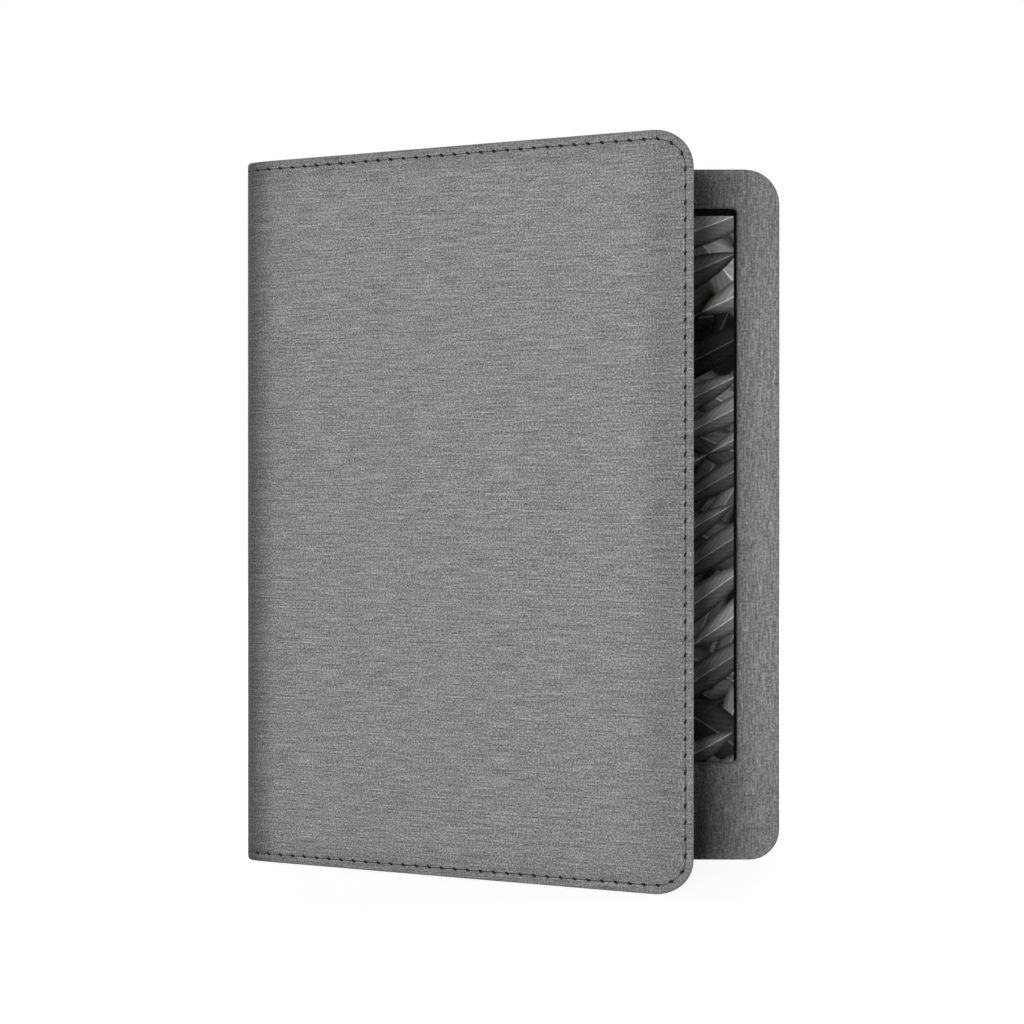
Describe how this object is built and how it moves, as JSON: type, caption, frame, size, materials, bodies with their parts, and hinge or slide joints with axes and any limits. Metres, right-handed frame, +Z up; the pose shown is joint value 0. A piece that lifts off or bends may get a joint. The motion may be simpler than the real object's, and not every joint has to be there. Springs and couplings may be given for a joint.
{
  "type": "e-reader in folio case",
  "caption": "E-paper reader in a soft grey cloth folio: a stitched front cover opens like a book on a soft spine, and the screen looks through a cloth covered window frame.",
  "frame": {"origin": "middle of the base of the box round the part as it stands on its lower edge with its front cover part open", "axes": "+Z up along the page, +X from the spine to the free edge of the back cover, -Y out of the screen"},
  "size_m": [0.1372, 0.0888, 0.179],
  "materials": {
    "cloth": "grey melange cloth, matt, fine weave with light slubs",
    "greyboard": "raw grey bookbinding board",
    "microfibre": "dark brushed microfibre",
    "stiffener": "thin flexible plastic strip",
    "spacer_foam": "firm black foam",
    "sewing_thread": "dark twisted polyester thread",
    "magnet": "nickel plated",
    "shell_plastic": "black soft-touch plastic",
    "black_plastic": "black moulded plastic",
    "black_film": "black printed film",
    "clear": "clear, with a matt anti-glare front",
    "e_paper": "e-paper panel showing a dark grey picture",
    "magnesium": "die-cast light metal",
    "battery_foil": "dull foil pouch",
    "adhesive": "double-sided tape",
    "circuit_board": "solder mask",
    "shield_metal": "tinned sheet steel",
    "port_steel": "satin",
    "silicone": "black silicone",
    "lamp_package": "white moulded lamp",
    "button_plastic": "satin black",
    "ribbon_film": "amber polyimide film",
    "screw_steel": "black zinc"
  },
  "bodies": {
    "case": {"antenna": "ribbon_film", "back_cover_board": "greyboard", "back_cover_skin": "cloth", "back_cover_thread": "sewing_thread", "battery": "battery_foil", "battery_connector": "black_plastic", "battery_lead": "ribbon_film", "battery_tape": "adhesive", "board_screw_1": "screw_steel", "board_screw_2": "screw_steel", "border_film": "black_film", "button_switch": "shield_metal", "cover_lens": "clear", "display_panel": "e_paper", "display_ribbon": "ribbon_film", "frame_magnet_lower": "magnet", "frame_magnet_upper": "magnet", "hall_sensor": "black_plastic", "light_guide": "clear", "light_pipe": "clear", "light_ribbon": "ribbon_film", "light_strip": "ribbon_film", "main_board": "circuit_board", "mid_frame": "magnesium", "pocket_lining": "microfibre", "pocket_spacer": "spacer_foam", "pocket_spacer_foot": "spacer_foam", "port_seal": "silicone", "power_chip": "black_plastic", "processor": "black_plastic", "processor_shield": "shield_metal", "rear_shell": "shell_plastic", "shell_screw_1": "screw_steel", "shell_screw_2": "screw_steel", "shell_screw_3": "screw_steel", "shell_screw_4": "screw_steel", "shell_screw_5": "screw_steel", "shell_screw_6": "screw_steel", "status_lamp": "lamp_package", "touch_ribbon": "ribbon_film", "touch_sensor": "clear", "usb_port": "port_steel", "window_frame_board": "greyboard", "window_frame_lining": "microfibre", "window_frame_skin": "cloth", "wireless_module": "shield_metal"},
    "spine": {"spine_skin": "cloth", "spine_stiffener": "stiffener"},
    "front_cover": {"front_cover_skin": "cloth", "front_cover_board": "greyboard", "front_cover_lining": "microfibre", "front_cover_thread": "sewing_thread", "cover_magnet_upper": "magnet", "cover_magnet_lower": "magnet", "wake_magnet": "magnet"},
    "power_button": {"power_button": "button_plastic"}
  },
  "joints": [
    {"name": "spine_fold", "type": "hinge", "parent": "case", "child": "spine", "pos_m": [-0.06398, 0.04337, 0.0895], "axis": [0, 0, -1], "range_deg": [-17.25, 162.75]},
    {"name": "cover_fold", "type": "hinge", "parent": "spine", "child": "front_cover", "pos_m": [-0.06762, 0.03162, 0.0895], "axis": [0, 0, -1], "range_deg": [-17.25, 162.75]},
    {"name": "power_button_press", "type": "slide", "parent": "case", "child": "power_button", "axis": [0, 0, 1], "range_m": [0, 0.0004], "stiffness_N_per_m": 2000, "springref_m": -0.0004}
  ],
  "couplings": [
    {"joint": "cover_fold", "follows": "spine_fold", "ratio": 1}
  ]
}
